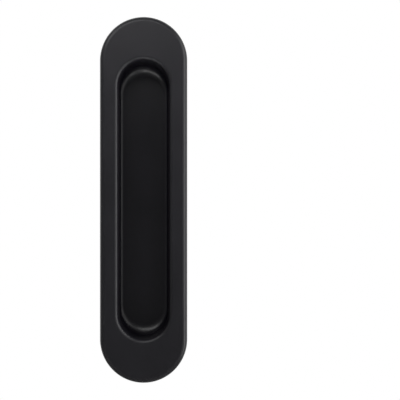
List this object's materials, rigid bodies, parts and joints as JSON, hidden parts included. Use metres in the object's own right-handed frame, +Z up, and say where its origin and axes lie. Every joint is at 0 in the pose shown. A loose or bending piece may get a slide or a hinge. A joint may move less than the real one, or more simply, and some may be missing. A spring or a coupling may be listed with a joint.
{
  "type": "sliding door flush pull",
  "caption": "Obround flush pull for a sliding door: a satin black cast cover with a finger recess, snapped over a hidden screw-on base.",
  "frame": {"origin": "middle of the handle on the door's face, midway between the two screw holes", "axes": "+Z up along the handle's length, +X across it, +Y into the door, so the cover's face looks towards -Y"},
  "size_m": [0.0382, 0.013, 0.16],
  "materials": {
    "cover_paint": "satin",
    "base_plastic": "matte"
  },
  "bodies": {
    "root": {"cover": "cover_paint", "mounting_base": "base_plastic"}
  },
  "joints": []
}
